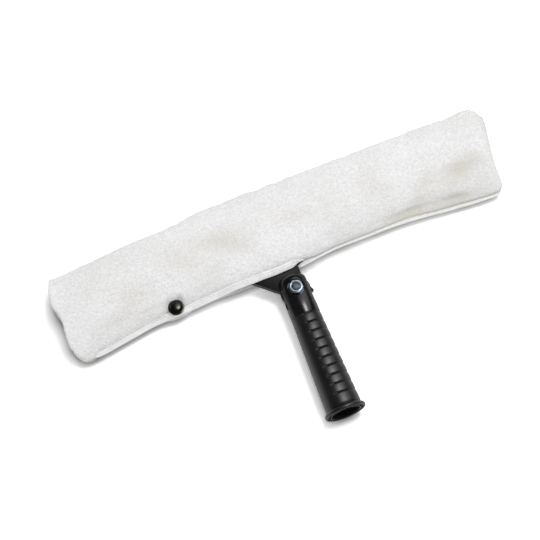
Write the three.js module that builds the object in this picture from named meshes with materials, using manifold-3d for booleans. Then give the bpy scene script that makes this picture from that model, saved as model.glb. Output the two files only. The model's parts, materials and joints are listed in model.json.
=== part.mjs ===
import * as THREE from 'three';
import { mergeVertices } from 'three/addons/utils/BufferGeometryUtils.js';
import Module from 'manifold-3d';

// A hand window washer: a moulded T-bar in a plush sleeve, on a short handle that swivels about one bolt.
// Millimetres, +Z up, lying flat. X runs along the bar to the sleeve's closed end, and the handle points
// to -Y.
// The bolt's axis is X = 0, Y = 0 until the last lines put the middle of the tool's footprint there.

// Clearances
const gap = 0.3; // left between neighbouring pieces
const webClearance = 0.5; // cloth to the web that comes out of it
const liningClearance = 0.6; // cloth to the bar inside it
const overrun = 6; // how far a cutter reaches past what it cuts
const weldDistance = 0.0001;

// Handle: a forked head, a neck, and a grip round a tapered socket
const headDiameter = 23.4;
const headTop = 12.5; // bolt to the top of the fork
const headTopRadius = 6;
const slotFloor = 12.8; // bolt to the bottom of the fork's slot
const spotFaceHeight = 7; // middle plane to the flat under each washer
const spotFaceDiameter = 13.4;
const neckLength = 21.3; // bolt to the shoulder where the grip starts
const handleLength = 102.7; // bolt to the mouth
const gripTopDiameter = 23.3;
const gripFootDiameter = 28.2;
const collarDiameter = 32.4;
const collarLength = 3;
const collarLipRadius = 1.2;
const rubberWall = 1.9;
const coreWall = 1.5;
const socketFloor = 27; // bolt to the closed end of the socket
const mouthChamferWidth = 0.9;
const mouthChamferDepth = 2;
const grooveCount = 10;
const groovePitch = 7.46;
const grooveWidth = 1.4;
const grooveDepth = 1;
const grooveReach = 3; // how far the grooves run past the handle's centre plane
const handleTurn = THREE.MathUtils.degToRad(-2.3); // swivelled a little towards the open end

// T-bar: one moulding of bar, web, tongue, fin and stop tooth
const barLength = 345;
const barWidth = 44;
const barThickness = 15;
const barCornerRadius = 13;
const barChamfer = 1.2;
const barToBolt = 30;
const railWall = 3.2;
const ribWall = 2.6;
const pocketDepth = 5.4;
const pocketCount = 10;
const webThickness = 6;
const webRightEdge = 9.4; // bolt to the web's straight side
const tongueRadius = 11.9;
const finOffset = 5.5; // bolt to the line of the fin's slanting edge
const finAngle = THREE.MathUtils.degToRad(43.6); // slanting edge to the bar
const toothReach = 1.95; // past the tongue
const toothAngle = THREE.MathUtils.degToRad(71); // handle to the tooth's point
const toothHalfAngle = THREE.MathUtils.degToRad(10);

// Pivot: M6 bolt, bush, washers and lock nut
const boltDiameter = 6;
const boltStandout = 0.3; // past the nut
const hexAcrossFlats = 10;
const boltHeadHeight = 4;
const nutHexHeight = 4.4;
const nutCollarHeight = 1.2;
const nutCollarDiameter = 9;
const nutCollarWall = 0.5;
const nutTurn = THREE.MathUtils.degToRad(9);
const insertHeight = 0.9;
const bushWall = 1.2;
const washerDiameter = 12.4;
const washerThickness = 1;
const frictionWasherDiameter = 19;
const frictionWasherThickness = 0.6;

// Sleeve: one folded panel of pile cloth, closed at +X, slit along its near edge from the open end
const leftOverhang = 6; // past the bar, open end
const rightOverhang = 16; // past the bar, closed end
const openEndBow = 8; // how far the corners of the open end are set back
const openEndPower = 4;
const closedEndSlant = 5; // how much sooner the closed end stops at its near side
const endLength = 40; // the stretch over which each end takes its slant or bow
const nearWall = 9.7;
const farWall = 13.3;
const nearSag = 7.6; // how far the near edge bows towards the handle at both ends
const leftSagPower = 1.6;
const farSag = 4;
const leftSagStart = 20; // bolt to where the bow starts
const rightSagLength = 105; // length of the bow at the closed end
const edgeDrop = 7.5; // how far the near edge sinks to the table
const leftDropFlat = 70; // sunk all the way this far from the open end
const rightDropFlat = 35; // and this far from the closed end
const mouthSag = 3.5; // how far the front layer sinks at the open end
const mouthSagLength = 45;
const farCornerRadius = 9;
const nearCornerRadius = 8;
const closingLength = 13;
const closedEndShare = 0.36; // height left at the closed end's seam
const sectionPower = 2.3;
const restFlatShare = 0.04; // how much of the rounding is cut flat where it lies on the table
const slitEnd = 16.7; // bolt to the sewn end of the slit
const webMargin = 3; // slit held open past the fin
const slitEaseLength = 20;
const tapeWidth = 3.4;
const tapeThickness = 1.2;
const tapeStandout = 0.6;
const bindingStandout = 2;
const bindingThickness = 2.4;
const flapRoot = 16; // bolt to the flap's near corner at the slit
const flapTopMargin = 1.1; // the fold meets the open end this far inside the bar's far side

// Snap: cap and socket on the flap, stud and post on the back layer
const snapFromMouth = 89.5; // open end to the snap
const capDiameter = 12.5;
const capRim = 0.8;
const capDome = 1.6;
const frontLip = 6.4; // cloth between the slit and the cap
const backLip = 5.7; // cloth between the slit and the post's flange
const socketDiameter = 10.5;
const socketThickness = 2.6;
const socketPlate = 1;
const cavityDiameter = 7.8;
const studBallDiameter = 4;
const studBallHeight = 1.7;
const studFlange = 0.8;
const postDiameter = 10;
const postFlange = 1.2;
const stemDiameter = 3.2;
const wellMargin = 0.7;
const wellFlare = 4;
const wellDepth = 11;

// Finish of the meshes: counts of flats, and steps along the sleeve
const handleSides = 48;
const smallSides = 32;
const arcSteps = 5;
const sectionPoints = 36;
const sleeveSteps = 24;
const closingSteps = 6;
const bandSteps = 26;

// Heights and edges that follow from the sizes above
const midHeight = collarDiameter / 2;
const barNear = barToBolt;
const barFar = barToBolt + barWidth;
const barEnd = barLength / 2;
const sleeveLeft = barEnd + leftOverhang;
const sleeveRight = barEnd + rightOverhang;
const sleeveHeight = midHeight * 2;
const boltRadius = boltDiameter / 2;
const holeRadius = boltRadius + gap;
const bushRadius = holeRadius + bushWall;
const slotHalf = webThickness / 2 + gap + frictionWasherThickness + gap;
const webSlitHalf = webThickness / 2 + webClearance;

const { smoothstep, lerp, clamp } = THREE.MathUtils;

const wasm = await Module();
wasm.setup();

const plush = new THREE.MeshStandardMaterial({ color: 0xe9e9e5, roughness: 0.95, metalness: 0 });
const tape = new THREE.MeshStandardMaterial({ color: 0xefeee9, roughness: 0.85, metalness: 0 });
const glossBlack = new THREE.MeshStandardMaterial({ color: 0x141617, roughness: 0.25, metalness: 0 });
const satinBlack = new THREE.MeshStandardMaterial({ color: 0x1b1d1e, roughness: 0.5, metalness: 0 });
const rubber = new THREE.MeshStandardMaterial({ color: 0x1d1f1f, roughness: 0.6, metalness: 0 });
const zinc = new THREE.MeshStandardMaterial({ color: 0xc9ced2, roughness: 0.3, metalness: 1 });
const nylon = new THREE.MeshStandardMaterial({ color: 0xdfe6ee, roughness: 0.45, metalness: 0 });
const acetal = new THREE.MeshStandardMaterial({ color: 0xe4e2da, roughness: 0.4, metalness: 0 });
const gunmetal = new THREE.MeshStandardMaterial({ color: 0x2b2d2f, roughness: 0.3, metalness: 1 });

// Puts the faces of a closed geometry on the outside, and joins its shared corners
function weld(geometry) {
  const plain = new THREE.BufferGeometry();
  plain.setAttribute('position', geometry.getAttribute('position').clone());
  if (geometry.index) plain.setIndex(geometry.index.clone());
  const welded = mergeVertices(plain, weldDistance);
  const corners = welded.getAttribute('position');
  const point = (i) => new THREE.Vector3().fromBufferAttribute(corners, i);
  const kept = [];
  let volume = 0;
  for (let i = 0; i < welded.index.count; i += 3) {
    const [a, b, c] = [0, 1, 2].map((k) => welded.index.getX(i + k));
    if (a === b || b === c || c === a) continue;
    kept.push(a, b, c);
    volume += point(a).dot(point(b).cross(point(c)));
  }
  welded.setIndex(volume > 0 ? kept : kept.reverse());
  return welded;
}

function solid(geometry) {
  const welded = weld(geometry);
  const vertProperties = new Float32Array(welded.getAttribute('position').array);
  const triVerts = new Uint32Array(welded.index.array);
  return new wasm.Manifold(new wasm.Mesh({ numProp: 3, vertProperties, triVerts }));
}

function part(name, body, material) {
  const mesh = body.getMesh();
  const geometry = new THREE.BufferGeometry();
  const corners = new Float32Array(mesh.vertProperties);
  geometry.setAttribute('position', new THREE.BufferAttribute(corners, mesh.numProp));
  geometry.setIndex(new THREE.BufferAttribute(new Uint32Array(mesh.triVerts), 1));
  geometry.computeVertexNormals();
  const piece = new THREE.Mesh(geometry, material);
  piece.name = name;
  return piece;
}

const joined = (bodies) => bodies.reduce((all, body) => all.add(body));

function box(x0, x1, y0, y1, z0, z1) {
  const geometry = new THREE.BoxGeometry(x1 - x0, y1 - y0, z1 - z0);
  return solid(geometry.translate((x0 + x1) / 2, (y0 + y1) / 2, (z0 + z1) / 2));
}

// A flat outline with a thickness, from one height to another, with chamfered edges if asked
function plate(shape, low, high, chamfer = 0) {
  const geometry = new THREE.ExtrudeGeometry(shape, {
    depth: high - low - chamfer * 2,
    bevelEnabled: chamfer > 0,
    bevelThickness: chamfer,
    bevelSize: chamfer,
    bevelOffset: -chamfer,
    bevelSegments: 1,
    curveSegments: arcSteps,
  });
  return solid(geometry.translate(0, 0, low + chamfer));
}

// Turned pieces: profiles are [radius, height] pairs
const outline = (profile) => profile.map(([radius, height]) => new THREE.Vector2(radius, height));
const lathe = (profile, sides) => new THREE.LatheGeometry(outline(profile), sides);
const turnedY = (profile, sides = handleSides) => solid(lathe(profile, sides));
const turnedZ = (profile, sides = smallSides) => solid(lathe(profile, sides).rotateX(Math.PI / 2));
const disc = (radius, low, high) => turnedZ([[0, low], [radius, low], [radius, high], [0, high]]);
function ring(inner, outer, low, high) {
  return turnedZ([[inner, low], [outer, low], [outer, high], [inner, high], [inner, low]]);
}

// Points of a circle's arc, for a profile
function arc(centreX, centreY, radius, from, to) {
  return Array.from({ length: arcSteps + 1 }, (_, i) => {
    const angle = lerp(from, to, i / arcSteps);
    return [centreX + radius * Math.cos(angle), centreY + radius * Math.sin(angle)];
  });
}

// A closed skin over a row of like-numbered outlines, capped at both ends
function loft(sections) {
  const count = sections[0].length;
  const points = sections.flat();
  const triangles = [];
  for (let s = 0; s < sections.length - 1; s += 1) {
    for (let j = 0; j < count; j += 1) {
      const a = s * count + j;
      const b = s * count + ((j + 1) % count);
      triangles.push(a, b, a + count, b, b + count, a + count);
    }
  }
  for (const [first, turn] of [[0, 1], [points.length - count, -1]]) {
    const ends = points.slice(first, first + count);
    const middle = ends.reduce((sum, p) => sum.add(p), new THREE.Vector3()).divideScalar(count);
    const hub = points.push(middle) - 1;
    for (let j = 0; j < count; j += 1) {
      const pair = [first + j, first + ((j + 1) % count)];
      if (turn > 0) pair.reverse();
      triangles.push(hub, ...pair);
    }
  }
  return solid(new THREE.BufferGeometry().setFromPoints(points).setIndex(triangles));
}

// Handle, built about its own axis: Y along the handle, the bolt at the origin
function gripRadius(distance) {
  const along = (distance - neckLength) / (handleLength - collarLength - neckLength);
  return lerp(gripTopDiameter, gripFootDiameter, along) / 2;
}
const coreRadius = (distance) => gripRadius(distance) - rubberWall - gap;
const socketRadius = (distance) => coreRadius(distance) - coreWall;
const headRadius = headDiameter / 2;

function handleCore() {
  const mouth = handleLength - gap;
  const body = turnedY([
    [0, headTop],
    ...arc(headRadius - headTopRadius, headTop - headTopRadius, headTopRadius, Math.PI / 2, 0),
    [headRadius, -neckLength],
    [coreRadius(neckLength), -neckLength],
    [coreRadius(mouth), -mouth],
    [socketRadius(mouth) + mouthChamferWidth, -mouth],
    [socketRadius(mouth - mouthChamferDepth), mouthChamferDepth - mouth],
    [socketRadius(socketFloor), -socketFloor],
    [0, -socketFloor],
  ]);
  const wide = headRadius + overrun;
  const slot = box(-wide, wide, -slotFloor, headTop + overrun, -slotHalf, slotHalf);
  const spotRadius = spotFaceDiameter / 2;
  return body
    .subtract(slot)
    .subtract(disc(holeRadius, -wide, wide))
    .subtract(disc(spotRadius, spotFaceHeight, wide))
    .subtract(disc(spotRadius, -wide, -spotFaceHeight));
}

function rubberGrip() {
  const top = neckLength + gap;
  const collarTop = handleLength - collarLength;
  const collarRadius = collarDiameter / 2;
  const fillet = collarRadius - gripRadius(collarTop);
  const inner = (distance) => coreRadius(distance) + gap;
  const body = turnedY([
    [inner(top), -top],
    [gripRadius(top), -top],
    [gripRadius(collarTop - fillet), fillet - collarTop],
    ...arc(collarRadius - fillet, -collarTop - fillet / 2, fillet, Math.PI / 2, 0),
    ...arc(collarRadius - collarLipRadius, collarLipRadius - handleLength, collarLipRadius, 0, -Math.PI / 2),
    [inner(handleLength), -handleLength],
    [inner(top), -top],
  ]);
  const grooves = Array.from({ length: grooveCount }, (_, i) => {
    const distance = neckLength + grooveWidth / 2 + i * groovePitch;
    const radius = gripRadius(distance);
    const [low, high] = [-distance - grooveWidth / 2, grooveWidth / 2 - distance];
    const reach = radius + overrun;
    const floor = radius - grooveDepth;
    return turnedY([[floor, low], [reach, low], [reach, high], [floor, high], [floor, low]]);
  });
  const wide = collarRadius + overrun * 2;
  const fingerSide = box(-grooveReach, wide, -handleLength, 0, -wide, wide);
  return body.subtract(joined(grooves).intersect(fingerSide));
}

// Pivot pieces, built about the bolt's axis: Z along the bolt, the handle's middle plane at 0
function hexagon(acrossFlats, turn) {
  const corner = acrossFlats / Math.sqrt(3);
  const points = Array.from({ length: 6 }, (_, i) => {
    const angle = Math.PI / 2 + turn + (i * Math.PI) / 3;
    return new THREE.Vector2(corner * Math.cos(angle), corner * Math.sin(angle));
  });
  return new THREE.Shape(points);
}

// Cone that takes the corners off a hexagon, at both ends
function cornerCone(low, high) {
  const flat = hexAcrossFlats / 2;
  const corner = hexAcrossFlats / Math.sqrt(3);
  const drop = (corner - flat) / 2;
  const [rise, fall] = [low + drop, high - drop];
  return turnedZ([[0, low], [flat, low], [corner, rise], [corner, fall], [flat, high], [0, high]]);
}

const washerSeat = spotFaceHeight + gap;
const headSeat = washerSeat + washerThickness + gap;
const nutTop = headSeat + nutHexHeight + nutCollarHeight;

function pivotBolt() {
  const headLow = -headSeat - boltHeadHeight;
  const hex = plate(hexagon(hexAcrossFlats, 0), headLow, -headSeat);
  const head = hex.intersect(cornerCone(headLow, -headSeat));
  return head.add(disc(boltRadius, -headSeat - boltHeadHeight / 2, nutTop + boltStandout));
}

function lockNut() {
  const hexTop = headSeat + nutHexHeight;
  const plain = plate(hexagon(hexAcrossFlats, nutTurn), headSeat, hexTop);
  const hex = plain.intersect(cornerCone(headSeat, hexTop));
  const collar = disc(nutCollarDiameter / 2, hexTop - gap, nutTop);
  const recess = disc(nutCollarDiameter / 2 - nutCollarWall, hexTop - gap, nutTop + overrun);
  return hex.add(collar).subtract(recess).subtract(disc(holeRadius, 0, nutTop + overrun));
}

function nylonInsert() {
  const outer = nutCollarDiameter / 2 - nutCollarWall - gap;
  const low = headSeat + nutHexHeight;
  return ring(holeRadius, outer, low, low + insertHeight);
}

function washer(side) {
  const heights = [side * washerSeat, side * (washerSeat + washerThickness)].sort((a, b) => a - b);
  return ring(holeRadius, washerDiameter / 2, ...heights);
}

function frictionWasher(side) {
  const seat = webThickness / 2 + gap;
  const heights = [side * seat, side * (seat + frictionWasherThickness)].sort((a, b) => a - b);
  return ring(bushRadius + gap, frictionWasherDiameter / 2, ...heights);
}

const pivotBush = () => ring(holeRadius, bushRadius, gap - slotHalf, slotHalf - gap);

// T-bar, built about the same bolt: bar at +Y, middle plane at 0
function barOutline() {
  const [left, right, near, far, r] = [-barEnd, barEnd, barNear, barFar, barCornerRadius];
  const shape = new THREE.Shape();
  shape.moveTo(left + r, near).lineTo(right - r, near);
  shape.absarc(right - r, near + r, r, -Math.PI / 2, 0).lineTo(right, far - r);
  shape.absarc(right - r, far - r, r, 0, Math.PI / 2).lineTo(left + r, far);
  shape.absarc(left + r, far - r, r, Math.PI / 2, Math.PI).lineTo(left, near + r);
  shape.absarc(left + r, near + r, r, Math.PI, Math.PI * 1.5);
  return shape;
}

// Straight web on the right, slanting fin on the left, round tongue about the bolt
function webOutline() {
  const root = barNear + barChamfer;
  const along = new THREE.Vector2(-Math.cos(finAngle), Math.sin(finAngle));
  const foot = new THREE.Vector2(-Math.sin(finAngle), -Math.cos(finAngle)).multiplyScalar(finOffset);
  const leave = Math.sqrt(tongueRadius ** 2 - finOffset ** 2);
  const finLow = foot.clone().addScaledVector(along, leave);
  const finHigh = foot.clone().addScaledVector(along, (root - foot.y) / along.y);
  const rightAngle = Math.acos(webRightEdge / tongueRadius);
  const leftAngle = Math.atan2(finLow.y, finLow.x);
  const shape = new THREE.Shape();
  shape.moveTo(finHigh.x, finHigh.y).lineTo(finLow.x, finLow.y);
  for (let i = 1; i <= smallSides; i += 1) {
    const angle = lerp(leftAngle, rightAngle + Math.PI * 2, i / smallSides);
    shape.lineTo(tongueRadius * Math.cos(angle), tongueRadius * Math.sin(angle));
  }
  shape.lineTo(webRightEdge, root);
  return shape;
}

function toothOutline() {
  const at = (radius, angle) => new THREE.Vector2(radius * Math.sin(angle), -radius * Math.cos(angle));
  const inside = tongueRadius - toothReach;
  return new THREE.Shape([
    at(inside, toothAngle - toothHalfAngle),
    at(tongueRadius, toothAngle - toothHalfAngle),
    at(tongueRadius + toothReach, toothAngle),
    at(tongueRadius, toothAngle + toothHalfAngle),
    at(inside, toothAngle + toothHalfAngle),
  ]);
}

function tBar() {
  const half = barThickness / 2;
  const webHalf = webThickness / 2;
  const body = plate(barOutline(), -half, half, barChamfer)
    .add(plate(webOutline(), -webHalf, webHalf))
    .add(plate(toothOutline(), -webHalf, webHalf));
  const pitch = (barLength - barCornerRadius * 2) / pocketCount;
  const floor = half - pocketDepth;
  const pockets = [];
  for (let i = 0; i < pocketCount; i += 1) {
    const left = barCornerRadius - barEnd + i * pitch + ribWall / 2;
    const right = left + pitch - ribWall;
    const [near, far] = [barNear + railWall, barFar - railWall];
    pockets.push(box(left, right, near, far, floor, half + overrun));
    pockets.push(box(left, right, near, far, -half - overrun, -floor));
  }
  return body.subtract(joined(pockets)).subtract(disc(bushRadius + gap, -overrun, overrun));
}

// Sleeve, built where it lies: Z from the table
function sideSag(x) {
  if (x < 0) return clamp((-x - leftSagStart) / (sleeveLeft - leftSagStart), 0, 1) ** leftSagPower;
  return smoothstep(x, sleeveRight - rightSagLength, sleeveRight);
}
const finReach = (barNear + finOffset) / Math.tan(finAngle) + webMargin;
function edgeFall(x) {
  if (x < 0) return smoothstep(-x, finReach, sleeveLeft - leftDropFlat);
  return smoothstep(x, slitEnd, sleeveRight - rightDropFlat);
}
const edgeHeight = (x) => midHeight - edgeDrop * edgeFall(x);
const roundedOff = (x, radius) => {
  const share = clamp((x - sleeveRight + radius) / radius, 0, 1);
  return radius * (1 - Math.sqrt(1 - share ** 2));
};
const nearEdge = (x) => barNear - nearWall - nearSag * sideSag(x) + roundedOff(x, nearCornerRadius);
const farEdge = (x) => barFar + farWall - farSag * sideSag(x) - roundedOff(x, farCornerRadius);
const topHeight = (x) => sleeveHeight - mouthSag * smoothstep(-x, sleeveLeft - mouthSagLength, sleeveLeft);

// The ends aren't square: share is 0 at the near edge and 1 at the far edge
function endShift(x, share) {
  const bow = openEndBow * Math.abs(share * 2 - 1) ** openEndPower;
  const open = bow * smoothstep(-x, sleeveLeft - endLength, sleeveLeft);
  const slant = closedEndSlant * (1 - share);
  return open - slant * smoothstep(x, sleeveRight - endLength, sleeveRight);
}

function sleeveSection(x) {
  const closing = clamp((x - sleeveRight + closingLength) / closingLength, 0, 1);
  const fullness = Math.max(Math.sqrt(1 - closing ** 2), closedEndShare);
  return Array.from({ length: sectionPoints }, (_, j) => {
    const angle = (j / sectionPoints) * Math.PI * 2;
    const across = Math.sign(Math.cos(angle)) * Math.abs(Math.cos(angle)) ** (2 / sectionPower);
    const lift = Math.abs(Math.sin(angle)) ** (2 / sectionPower);
    const share = (1 + across) / 2;
    const base = lerp(edgeHeight(x), midHeight, share);
    const up = (topHeight(x) - base) * lift;
    const down = base * Math.min(1, lift * (1 + restFlatShare));
    const rise = Math.sin(angle) >= 0 ? up : -down;
    const y = lerp(nearEdge(x), farEdge(x), share);
    return new THREE.Vector3(x + endShift(x, share), y, base + rise * fullness);
  });
}

function sleeveOuter() {
  const start = sleeveRight - closingLength;
  const body = Array.from({ length: sleeveSteps }, (_, i) => lerp(-sleeveLeft, start, i / sleeveSteps));
  const end = Array.from({ length: closingSteps + 1 }, (_, i) => {
    return start + closingLength * Math.sin((i / closingSteps) * (Math.PI / 2));
  });
  return loft([...body, ...end].map(sleeveSection));
}

// A band along the sleeve, four-sided, whose edges are functions of X
function band(from, to, near, far, low, high) {
  return loft(Array.from({ length: bandSteps + 1 }, (_, i) => {
    const x = lerp(from, to, i / bandSteps);
    const corners = [[near(x), low(x)], [far(x), low(x)], [far(x), high(x)], [near(x), high(x)]];
    return corners.map(([y, z]) => new THREE.Vector3(x, y, z));
  }));
}

const slitEase = (x) => smoothstep(-x, finReach, finReach + slitEaseLength);
const slitHalf = (x) => lerp(webSlitHalf, gap, slitEase(x));
const slitLow = (x) => edgeHeight(x) - slitHalf(x);
const slitHigh = (x) => edgeHeight(x) + slitHalf(x);
const outside = (x) => nearEdge(x) - overrun;
const hollowNear = barNear - liningClearance;
const hollowFar = barFar + liningClearance;
const hollowEdge = () => hollowNear + gap;
const aboveSleeve = () => sleeveHeight + overrun;

function barHollow() {
  const half = barThickness / 2 + liningClearance;
  const end = barEnd + liningClearance;
  return box(-sleeveLeft - overrun, end, hollowNear, hollowFar, midHeight - half, midHeight + half);
}

const slit = () => band(-sleeveLeft - overrun, slitEnd, outside, hollowEdge, slitLow, slitHigh);

// The flap folds about a straight line from the slit near the web to the open end
const foldRoot = new THREE.Vector2(-flapRoot, nearEdge(-flapRoot));
const foldTip = new THREE.Vector2(-sleeveLeft, hollowFar - flapTopMargin);
const foldAlong = foldTip.clone().sub(foldRoot).normalize();
const foldAcross = new THREE.Vector2(foldAlong.y, -foldAlong.x);

function flapPrism(clearance) {
  const shifted = (point, reach) => {
    return point.clone().addScaledVector(foldAlong, reach).addScaledVector(foldAcross, clearance);
  };
  const a = shifted(foldRoot, -overrun);
  const b = shifted(foldTip, overrun);
  const low = outside(-sleeveLeft) - overrun;
  const outline = [a, b, new THREE.Vector2(b.x, low), new THREE.Vector2(a.x, low)];
  return plate(new THREE.Shape(outline), 0, aboveSleeve());
}

function aboveSlit(from) {
  const far = () => barFar + farWall;
  return band(-sleeveLeft - overrun, slitEnd, outside, far, from, aboveSleeve);
}

// Tapes sewn over the raw edges of the slit, and the binding of its sewn half
const tapeFace = (x) => nearEdge(x) - tapeStandout;
const tapeBack = (x) => nearEdge(x) + tapeWidth;
const bindingFace = (x) => nearEdge(x) - bindingStandout;
const grown = (edge, amount) => (x) => edge(x) + amount;

function tapeBand(from, to, low, high, clearance) {
  const [near, far] = [clearance > 0 ? outside : tapeFace, grown(tapeBack, clearance)];
  return band(from - clearance, to + clearance, near, far, grown(low, -clearance), grown(high, clearance));
}

const tapeStart = openEndBow + tapeThickness - sleeveLeft;
const tapeEnd = slitEnd - tapeWidth;
const frontTape = (c) => tapeBand(tapeStart, tapeEnd, slitHigh, grown(slitHigh, tapeThickness), c);
const backTape = (c) => tapeBand(tapeStart, tapeEnd, grown(slitLow, -tapeThickness), slitLow, c);

function binding(clearance) {
  const half = bindingThickness / 2;
  const [from, to] = [slitEnd + tapeWidth, sleeveRight - closingLength - closedEndSlant];
  const [low, high] = [grown(edgeHeight, -half - clearance), grown(edgeHeight, half + clearance)];
  const near = clearance > 0 ? outside : bindingFace;
  return band(from - clearance, to + clearance, near, grown(tapeBack, clearance), low, high);
}

// Snap, built about its own axis at table height
const snapX = snapFromMouth - sleeveLeft;
const snapY = barNear - gap - capDiameter / 2;
const snapSlit = edgeHeight(snapX);
const atSnap = (body) => body.translate(snapX, snapY, 0);
const stemRadius = stemDiameter / 2;
const capHeight = snapSlit + frontLip;
const postHeight = snapSlit - backLip - postFlange;
const socketLow = snapSlit + gap;
const socketHigh = socketLow + socketThickness;
const studTop = snapSlit - gap;
const studLow = studTop - studFlange;

function snapCap() {
  const radius = capDiameter / 2;
  const sphere = (radius ** 2 + capDome ** 2) / (capDome * 2);
  const rimTop = capHeight + capRim;
  const start = Math.asin(radius / sphere);
  const dome = arc(0, rimTop + capDome - sphere, sphere, Math.PI / 2 - start, Math.PI / 2);
  const stem = disc(stemRadius, socketHigh - socketPlate, capHeight + capRim / 2);
  return turnedZ([[0, capHeight], [radius, capHeight], ...dome]).add(stem);
}

function snapSocket() {
  const body = disc(socketDiameter / 2, socketLow, socketHigh);
  return body
    .subtract(disc(cavityDiameter / 2, 0, socketHigh - socketPlate))
    .subtract(disc(stemRadius + gap, 0, aboveSleeve()));
}

function snapStud() {
  const ball = disc(studBallDiameter / 2, studLow, studTop + studBallHeight);
  const body = disc(socketDiameter / 2, studLow, studTop).add(ball);
  return body.subtract(disc(stemRadius + gap / 2, 0, studTop));
}

function snapPost() {
  const flangeTop = postHeight + postFlange;
  const stem = disc(stemRadius - gap / 2, postHeight, studTop - gap);
  return disc(postDiameter / 2, postHeight, flangeTop).add(stem);
}

// Wells that the two halves press in the pile, and the holes that they pass through
function frontSnapCut() {
  const floor = capHeight - gap;
  const radius = capDiameter / 2 + wellMargin;
  const rim = floor + wellDepth;
  const well = turnedZ([[0, floor], [radius, floor], [radius + wellFlare, rim], [0, rim]]);
  const seat = disc(socketDiameter / 2 + gap, 0, socketHigh + gap);
  return atSnap(well.add(seat).add(disc(stemRadius + gap, 0, capHeight)));
}

function backSnapCut() {
  const floor = postHeight + postFlange + gap;
  const radius = postDiameter / 2 + wellMargin;
  const well = turnedZ([[0, -wellDepth], [radius + wellFlare, -wellDepth], [radius, floor], [0, floor]]);
  const seat = disc(socketDiameter / 2 + gap, studLow - gap, socketHigh);
  return atSnap(well.add(seat).add(disc(stemRadius + gap, 0, snapSlit)));
}

const shell = sleeveOuter().subtract(barHollow()).subtract(slit());

function sleeveFlap() {
  return shell
    .intersect(flapPrism(0))
    .intersect(aboveSlit(edgeHeight))
    .subtract(frontTape(gap))
    .subtract(frontSnapCut());
}

function sleeveCloth() {
  return shell
    .subtract(flapPrism(gap).intersect(aboveSlit(edgeHeight)))
    .subtract(frontTape(gap))
    .subtract(backTape(gap))
    .subtract(binding(gap))
    .subtract(backSnapCut());
}

// Assembly
const tool = new THREE.Group();
tool.name = 'window_washer';

const handle = new THREE.Group();
handle.rotation.z = handleTurn;
handle.add(
  part('handle_core', handleCore(), glossBlack),
  part('rubber_grip', rubberGrip(), rubber),
  part('pivot_bolt', pivotBolt(), zinc),
  part('bolt_washer', washer(-1), zinc),
  part('nut_washer', washer(1), zinc),
  part('lock_nut', lockNut(), zinc),
  part('nylon_insert', nylonInsert(), nylon),
  part('pivot_bush', pivotBush(), zinc),
  part('friction_washer_front', frictionWasher(1), acetal),
  part('friction_washer_back', frictionWasher(-1), acetal),
);

const swivel = new THREE.Group();
swivel.position.z = midHeight;
swivel.add(part('t_bar', tBar(), satinBlack), handle);

const sleeve = new THREE.Group();
sleeve.add(
  part('sleeve_cloth', sleeveCloth(), plush),
  part('sleeve_flap', sleeveFlap(), plush),
  part('slit_tape_front', frontTape(0).intersect(flapPrism(0)).subtract(frontSnapCut()), tape),
  part('slit_tape_root', frontTape(0).subtract(flapPrism(gap)), tape),
  part('slit_tape_back', backTape(0).subtract(backSnapCut()), tape),
  part('edge_binding', binding(0), tape),
  part('snap_cap', atSnap(snapCap()), gunmetal),
  part('snap_socket', atSnap(snapSocket()), gunmetal),
  part('snap_stud', atSnap(snapStud()), gunmetal),
  part('snap_post', atSnap(snapPost()), gunmetal),
);

tool.add(swivel, sleeve);
const footprint = new THREE.Box3().setFromObject(tool, true);
tool.position.set(-(footprint.min.x + footprint.max.x) / 2, -(footprint.min.y + footprint.max.y) / 2, 0);

export default tool;
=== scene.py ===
import json
import math

import bpy
import numpy as np
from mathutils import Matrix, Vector

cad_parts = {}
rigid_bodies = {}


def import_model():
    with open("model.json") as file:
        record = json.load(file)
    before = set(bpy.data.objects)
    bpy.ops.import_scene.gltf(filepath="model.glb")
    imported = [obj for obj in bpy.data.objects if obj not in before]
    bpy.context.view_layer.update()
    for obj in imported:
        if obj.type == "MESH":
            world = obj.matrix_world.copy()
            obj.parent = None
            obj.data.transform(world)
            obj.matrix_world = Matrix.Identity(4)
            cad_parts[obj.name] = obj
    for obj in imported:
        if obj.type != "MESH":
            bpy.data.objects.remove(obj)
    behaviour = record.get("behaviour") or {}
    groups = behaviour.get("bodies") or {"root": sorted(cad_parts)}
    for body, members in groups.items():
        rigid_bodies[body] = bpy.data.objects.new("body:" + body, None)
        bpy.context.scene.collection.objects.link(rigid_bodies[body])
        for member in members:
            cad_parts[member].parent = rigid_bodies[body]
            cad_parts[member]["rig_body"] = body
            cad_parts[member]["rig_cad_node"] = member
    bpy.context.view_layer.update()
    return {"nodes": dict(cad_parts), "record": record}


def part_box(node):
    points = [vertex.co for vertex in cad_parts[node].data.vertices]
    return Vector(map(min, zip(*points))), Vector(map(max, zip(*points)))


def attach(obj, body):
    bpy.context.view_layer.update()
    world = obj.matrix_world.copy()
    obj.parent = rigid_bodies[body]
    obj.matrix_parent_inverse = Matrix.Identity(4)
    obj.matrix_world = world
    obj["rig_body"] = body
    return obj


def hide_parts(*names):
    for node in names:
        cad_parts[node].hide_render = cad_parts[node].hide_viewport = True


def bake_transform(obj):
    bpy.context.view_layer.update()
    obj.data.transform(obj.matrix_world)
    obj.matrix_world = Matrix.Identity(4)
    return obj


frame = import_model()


# T-bar: one injection moulding of satin black nylon, with the bar, its pockets, the web, the fin and the
# round tongue that the handle turns on. Only the web, fin and tongue come out of the sleeve's slit. The rest
# shows when the front corner of the sleeve is peeled back.
def mm(length):
    """Metres from millimetres."""
    return length / 1000


def linear(code):
    """The linear colour of an sRGB hex value."""
    parts = [int(code[i:i + 2], 16) / 255 for i in (1, 3, 5)]
    return [p / 12.92 if p <= 0.04045 else ((p + 0.055) / 1.055) ** 2.4 for p in parts] + [1]


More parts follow.
